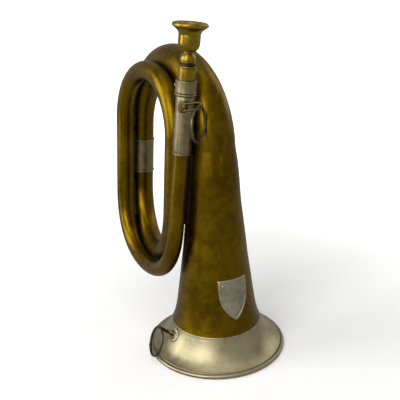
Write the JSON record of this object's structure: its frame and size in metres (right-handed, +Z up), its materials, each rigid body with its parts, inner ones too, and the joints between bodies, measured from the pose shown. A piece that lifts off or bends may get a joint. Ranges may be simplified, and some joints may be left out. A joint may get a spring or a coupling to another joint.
{
  "type": "bugle",
  "caption": "Double-wound brass bugle standing on its bell, with a cup mouthpiece, a nickel-silver collar and bell garland, a blank shield plate and hanging strap rings.",
  "frame": {"origin": "centre of the bell mouth, in the plane that the bell rim stands on", "axes": "+Z up along the bell's axis, from the mouth to the neck; -X from the bell to the coil; -Y is the side of the leadpipe and the coil"},
  "size_m": [0.2023, 0.1355, 0.3069],
  "materials": {
    "tube_brass": "satin, aged olive brown patina",
    "bell_brass": "satin, aged olive brown patina",
    "receiver_brass": "satin, rubbed",
    "mouthpiece_brass": "satin, turned and rubbed",
    "eyelet_brass": "dull, dark in the corners",
    "nickel_silver": "satin, warm grey, fine scratches",
    "garland_nickel": "satin, warm grey, spun lines",
    "badge_nickel": "satin, worn",
    "ring_nickel": "satin, worn",
    "iron_wire": "dull, dark",
    "dark_steel": "dull, dark",
    "solder": "dull grey"
  },
  "bodies": {
    "horn": {"badge_plate": "badge_nickel", "badge_rivets": "badge_nickel", "bell_bow": "tube_brass", "bell_cone": "bell_brass", "bell_stays": "solder", "collar_bead": "nickel_silver", "front_left_leg": "tube_brass", "front_lower_bow": "tube_brass", "front_upper_bow": "tube_brass", "garland": "garland_nickel", "leadpipe": "tube_brass", "leadpipe_sleeve": "nickel_silver", "leadpipe_stay": "solder", "left_leg_stays": "solder", "lower_bow_solder": "solder", "lower_eyelet": "dark_steel", "lower_eyelet_patch": "eyelet_brass", "middle_leg": "tube_brass", "rear_ferrule": "nickel_silver", "rear_left_leg_lower": "tube_brass", "rear_left_leg_upper": "tube_brass", "rear_lower_bow": "tube_brass", "receiver_collar": "nickel_silver", "receiver_tube": "receiver_brass", "rim_wire": "iron_wire", "upper_bow_stay": "solder", "upper_eyelet": "eyelet_brass", "upper_eyelet_patch": "eyelet_brass"},
    "mouthpiece": {"mouthpiece": "mouthpiece_brass", "shank_wire_wrap": "iron_wire"},
    "upper_ring": {"upper_strap_ring": "ring_nickel"},
    "lower_ring": {"lower_strap_ring": "dark_steel"}
  },
  "joints": [
    {"name": "mouthpiece_pull", "type": "slide", "parent": "horn", "child": "mouthpiece", "axis": [0.0308, 0.1004, 0.9945], "range_m": [0, 0.028]},
    {"name": "upper_ring_swing", "type": "hinge", "parent": "horn", "child": "upper_ring", "pos_m": [0.0206, -0.02607, 0.24081], "axis": [0.6225, -0.7826, 0], "range_deg": [-4, 80]},
    {"name": "lower_ring_swing", "type": "hinge", "parent": "horn", "child": "lower_ring", "pos_m": [-0.00308, -0.05867, 0.03128], "axis": [0.9781, -0.2079, 0], "range_deg": [-80, 0]}
  ]
}
